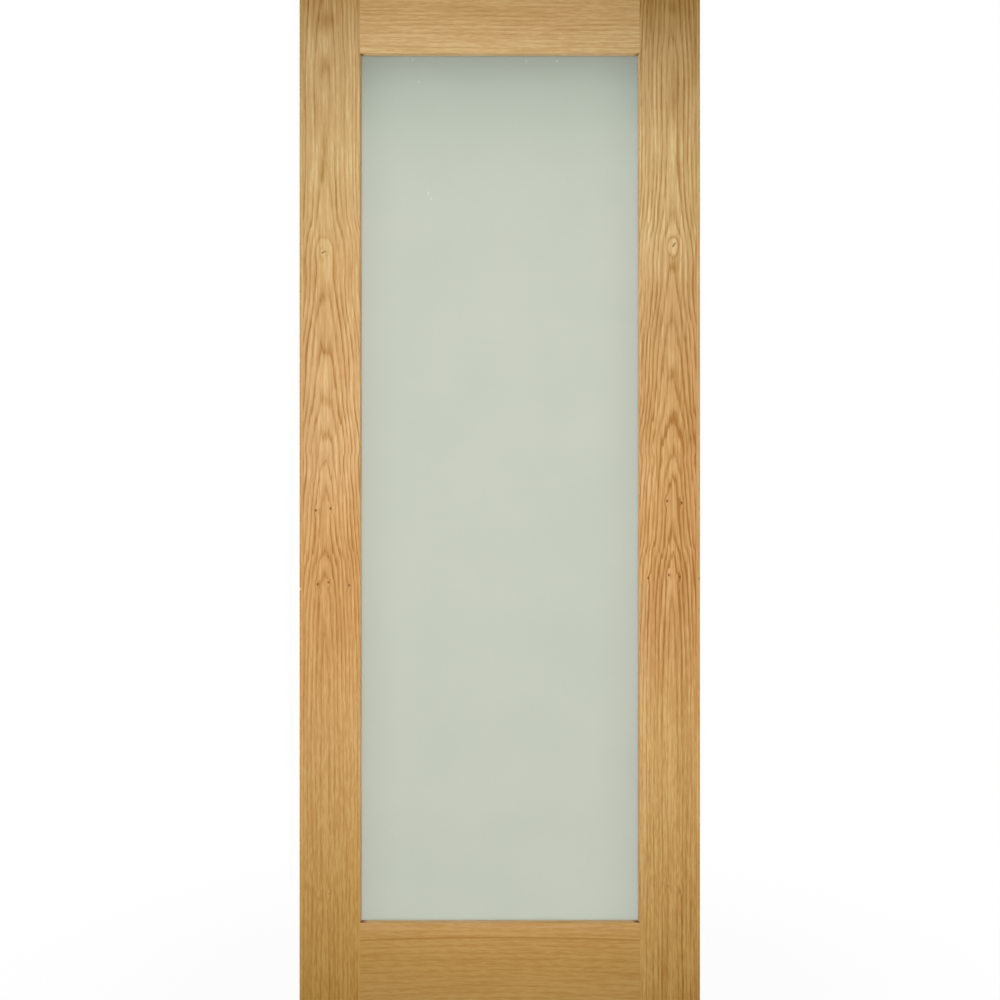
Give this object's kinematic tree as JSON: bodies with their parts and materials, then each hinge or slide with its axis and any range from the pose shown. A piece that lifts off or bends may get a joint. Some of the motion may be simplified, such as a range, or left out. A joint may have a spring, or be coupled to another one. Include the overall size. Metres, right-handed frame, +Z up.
{
  "type": "glazed door leaf",
  "caption": "Flat oak-veneered door leaf of plain stiles and rails round one tall frosted pane, bedded in a rebate and held by mitred beads at the back.",
  "frame": {"origin": "on the hinge edge, at the bottom of the leaf, midway through its thickness", "axes": "+X across the leaf from the hinge edge to the lock edge, +Y from the front face, which the picture shows, to the back, +Z up"},
  "size_m": [0.813, 0.035, 2.032],
  "materials": {
    "oak_veneer": "sanded crown-cut oak veneer under clear satin lacquer",
    "oak_lipping": "planed solid oak under clear satin lacquer",
    "softwood_core": "sawn softwood",
    "oak_bead": "moulded solid oak under clear satin lacquer",
    "frosted_glass": "acid-etched toughened glass",
    "glazing_tape": "matt closed-cell foam tape"
  },
  "bodies": {
    "root": {"bottom_back_tape": "glazing_tape", "bottom_bead": "oak_bead", "bottom_front_tape": "glazing_tape", "bottom_rail_back_veneer": "oak_veneer", "bottom_rail_core": "softwood_core", "bottom_rail_front_veneer": "oak_veneer", "bottom_rail_glazing_lipping": "oak_lipping", "glass_pane": "frosted_glass", "hinge_edge_lipping": "oak_lipping", "hinge_side_back_tape": "glazing_tape", "hinge_side_bead": "oak_bead", "hinge_side_front_tape": "glazing_tape", "hinge_stile_back_veneer": "oak_veneer", "hinge_stile_core": "softwood_core", "hinge_stile_front_veneer": "oak_veneer", "hinge_stile_glazing_lipping": "oak_lipping", "lock_edge_lipping": "oak_lipping", "lock_side_back_tape": "glazing_tape", "lock_side_bead": "oak_bead", "lock_side_front_tape": "glazing_tape", "lock_stile_back_veneer": "oak_veneer", "lock_stile_core": "softwood_core", "lock_stile_front_veneer": "oak_veneer", "lock_stile_glazing_lipping": "oak_lipping", "top_back_tape": "glazing_tape", "top_bead": "oak_bead", "top_front_tape": "glazing_tape", "top_rail_back_veneer": "oak_veneer", "top_rail_core": "softwood_core", "top_rail_front_veneer": "oak_veneer", "top_rail_glazing_lipping": "oak_lipping"}
  },
  "joints": []
}
